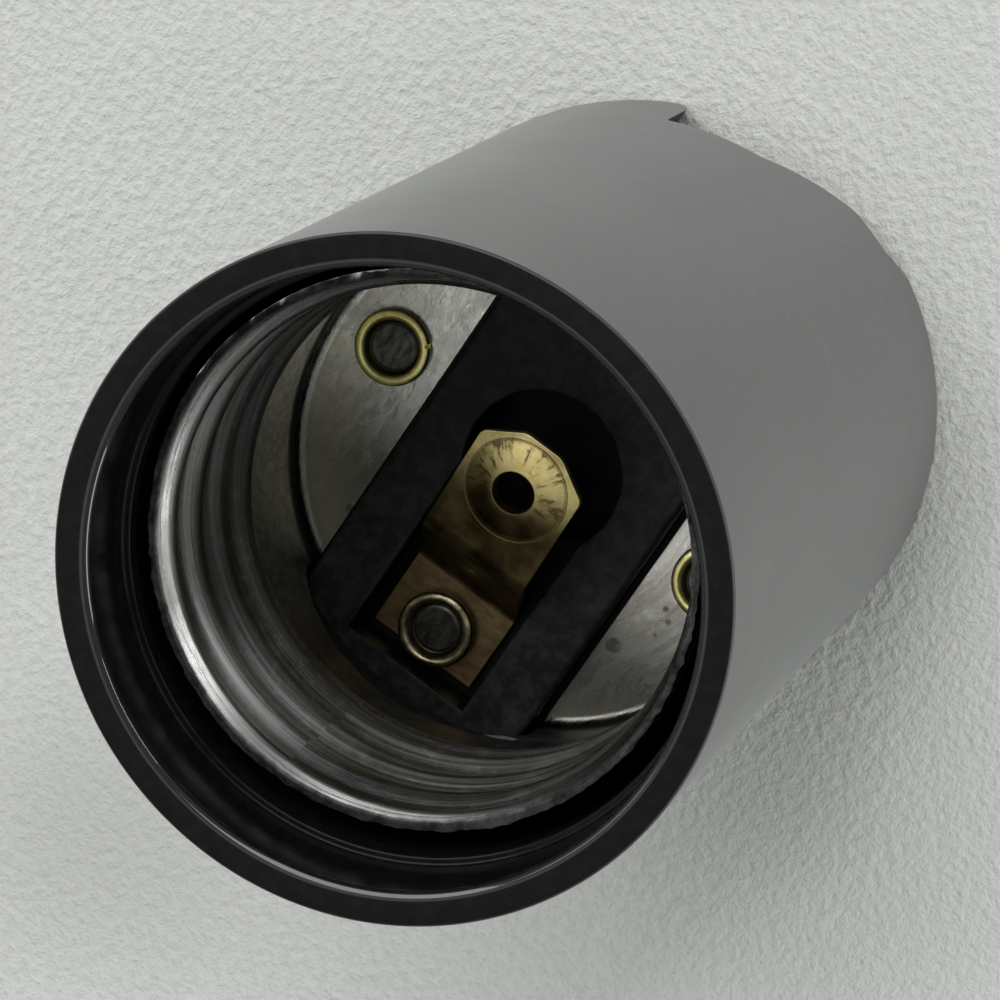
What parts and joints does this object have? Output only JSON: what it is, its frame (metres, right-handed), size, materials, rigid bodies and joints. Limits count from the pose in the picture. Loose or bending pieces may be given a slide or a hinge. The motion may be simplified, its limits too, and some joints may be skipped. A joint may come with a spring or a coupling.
{
  "type": "lamp holder",
  "caption": "Round keyless lamp holder: moulded barrel with a threaded metal shell, a springy centre contact and a wiring chamber with screw terminals behind.",
  "frame": {"origin": "centre of the rear rim, on the barrel's axis", "axes": "+Z along the barrel's axis to the open mouth, +X along the contact bar from the riveted foot to the tip"},
  "size_m": [0.0333, 0.0332, 0.0476],
  "materials": {
    "phenolic": "satin moulded black phenolic",
    "aluminium_sheet": "bright rolled sheet, streaked from forming",
    "brass": "dull brass, handled",
    "plated_steel": "plain plated steel",
    "brass_screw": "turned brass"
  },
  "bodies": {
    "holder": {"barrel": "phenolic", "screw_shell": "aluminium_sheet", "shell_rivet_a": "brass", "shell_rivet_b": "brass", "contact_rivet": "brass", "shell_terminal": "brass", "contact_terminal": "brass", "rivet_washer": "plated_steel"},
    "contact": {"centre_contact": "brass"},
    "shell_clamp": {"shell_clamp_washer": "plated_steel"},
    "shell_screw": {"shell_terminal_screw": "plated_steel"},
    "contact_clamp": {"contact_clamp_washer": "plated_steel"},
    "contact_screw": {"contact_terminal_screw": "brass_screw"}
  },
  "joints": [
    {"name": "contact_flex", "type": "hinge", "parent": "holder", "child": "contact", "pos_m": [-0.0084, 0, 0.0185], "axis": [0, 1, 0], "range_deg": [0, 4], "stiffness_Nm_per_rad": 0.004, "springref_deg": -2.86},
    {"name": "shell_clamp_travel", "type": "slide", "parent": "holder", "child": "shell_clamp", "axis": [0, 0, -1], "range_m": [0, 0.003]},
    {"name": "shell_screw_turn", "type": "hinge", "parent": "shell_clamp", "child": "shell_screw", "pos_m": [0.0082, 0.0066, 0.0107], "axis": [0, 0, -1], "range_deg": [0, 1361]},
    {"name": "contact_clamp_travel", "type": "slide", "parent": "holder", "child": "contact_clamp", "axis": [0, 0, -1], "range_m": [0, 0.003]},
    {"name": "contact_screw_turn", "type": "hinge", "parent": "contact_clamp", "child": "contact_screw", "pos_m": [-0.0086, -0.0065, 0.0107], "axis": [0, 0, -1], "range_deg": [0, 1361]}
  ],
  "couplings": [
    {"joint": "shell_screw_turn", "follows": "shell_clamp_travel", "rad_per_m": 7915.8},
    {"joint": "contact_screw_turn", "follows": "contact_clamp_travel", "rad_per_m": 7915.8}
  ]
}
